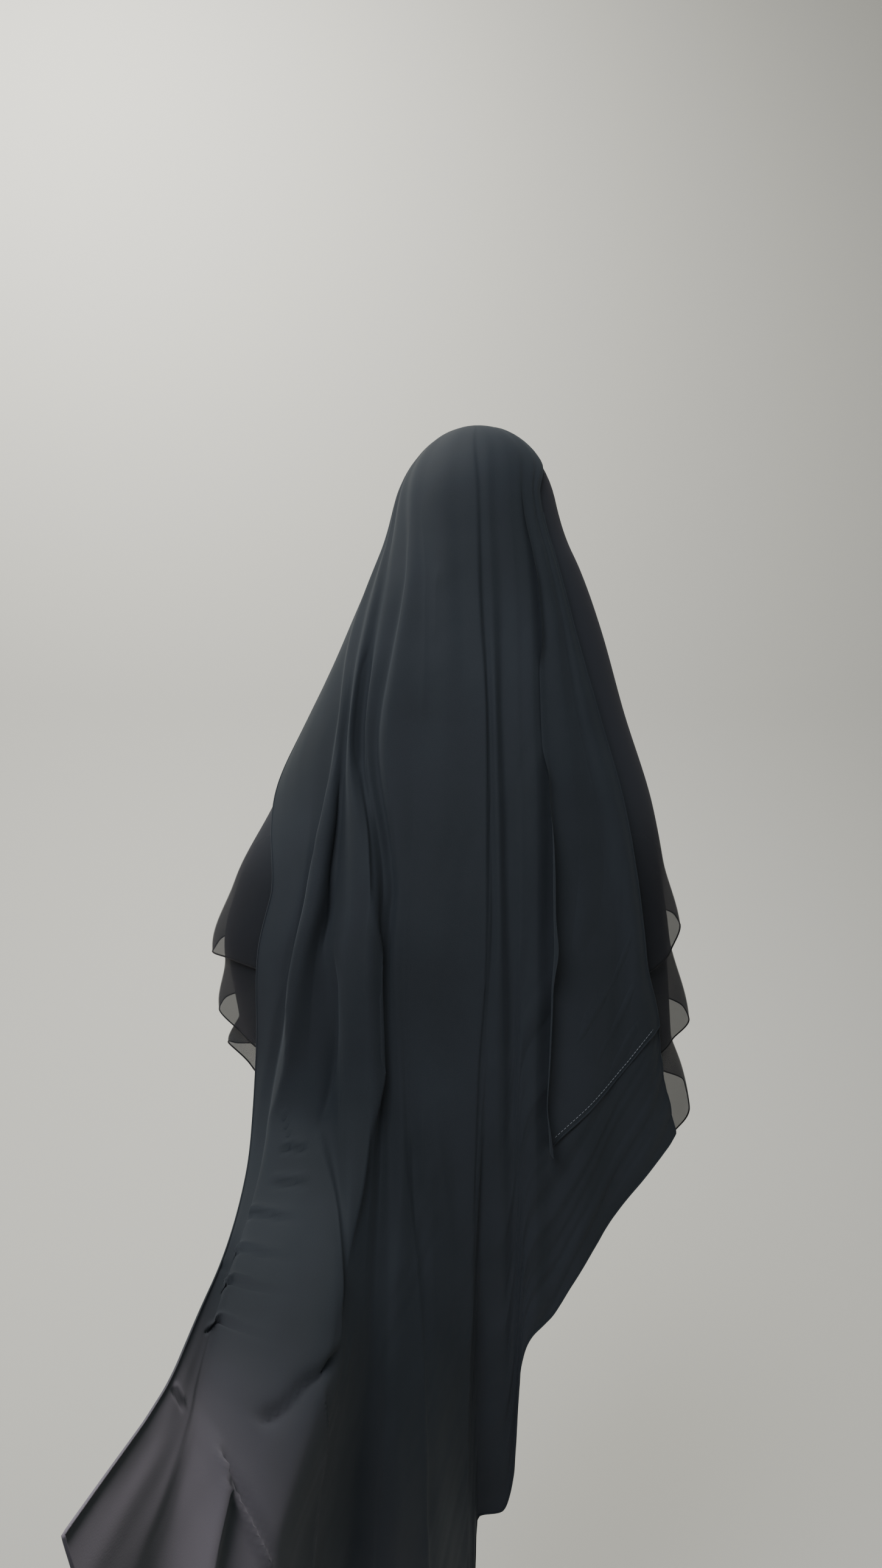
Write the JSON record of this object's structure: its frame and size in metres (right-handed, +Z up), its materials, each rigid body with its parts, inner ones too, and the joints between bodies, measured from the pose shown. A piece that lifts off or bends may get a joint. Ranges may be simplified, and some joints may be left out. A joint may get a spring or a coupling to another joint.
{
  "type": "khimar veil",
  "caption": "Long layered veil worn over the head and shoulders: hood with face opening, two tiers under it, and a long back panel with a short one over it.",
  "frame": {"origin": "the crown, where the top of the head carries the inner face of the hood", "axes": "+Z up, +Y the way the wearer faces, +X the wearer's right side as the back is seen"},
  "size_m": [0.5493, 1.1347, 1.3267],
  "materials": {
    "sheer_chiffon": "black polyester chiffon, sheer in one ply, rolled hems",
    "matt_crepe": "black crepe, opaque and matt, with a fine stitched hem"
  },
  "bodies": {
    "root": {"hood_and_top_tier": "sheer_chiffon", "middle_tier": "sheer_chiffon", "lower_tier": "sheer_chiffon", "long_back_panel": "matt_crepe", "short_back_panel": "matt_crepe"}
  },
  "joints": []
}
